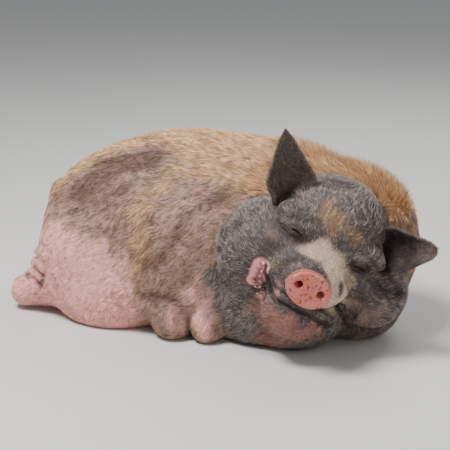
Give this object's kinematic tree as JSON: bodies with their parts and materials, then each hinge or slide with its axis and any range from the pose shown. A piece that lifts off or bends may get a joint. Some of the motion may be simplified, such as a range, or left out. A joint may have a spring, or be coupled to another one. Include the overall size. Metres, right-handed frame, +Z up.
{
  "type": "domestic pig lying down",
  "caption": "Fat pot-bellied type domestic pig at life size, lying on its belly with the head turned to its right and resting on its jowls.",
  "frame": {"origin": "on the floor, below the centre of the whole animal's box", "axes": "+X from the rump towards the neck, +Y to the pig's left, +Z up"},
  "size_m": [0.865, 0.5602, 0.416],
  "materials": {
    "hide": "bristled skin, brown grey over pink",
    "pink_hide": "bare pink skin",
    "dark_hide": "bristled dark grey skin",
    "snout": "moist bare skin",
    "eyes": "wet, dark",
    "horn": "hoof horn"
  },
  "bodies": {
    "root": {"claw_fore_left_left": "horn", "claw_fore_left_right": "horn", "claw_fore_right_left": "horn", "claw_fore_right_right": "horn", "claw_hind_left_left": "horn", "claw_hind_left_right": "horn", "claw_hind_right_left": "horn", "claw_hind_right_right": "horn", "dewclaw_fore_left_left": "horn", "dewclaw_fore_left_right": "horn", "dewclaw_hind_left_left": "horn", "dewclaw_hind_left_right": "horn", "ear_left": "dark_hide", "ear_right": "dark_hide", "eye_left": "eyes", "eye_right": "eyes", "foreleg_left": "hide", "foreleg_right": "pink_hide", "head": "dark_hide", "hindleg_left": "pink_hide", "hindleg_right": "pink_hide", "lower_jaw": "pink_hide", "neck": "dark_hide", "snout_disc": "snout", "tail": "pink_hide", "torso": "hide"}
  },
  "joints": []
}
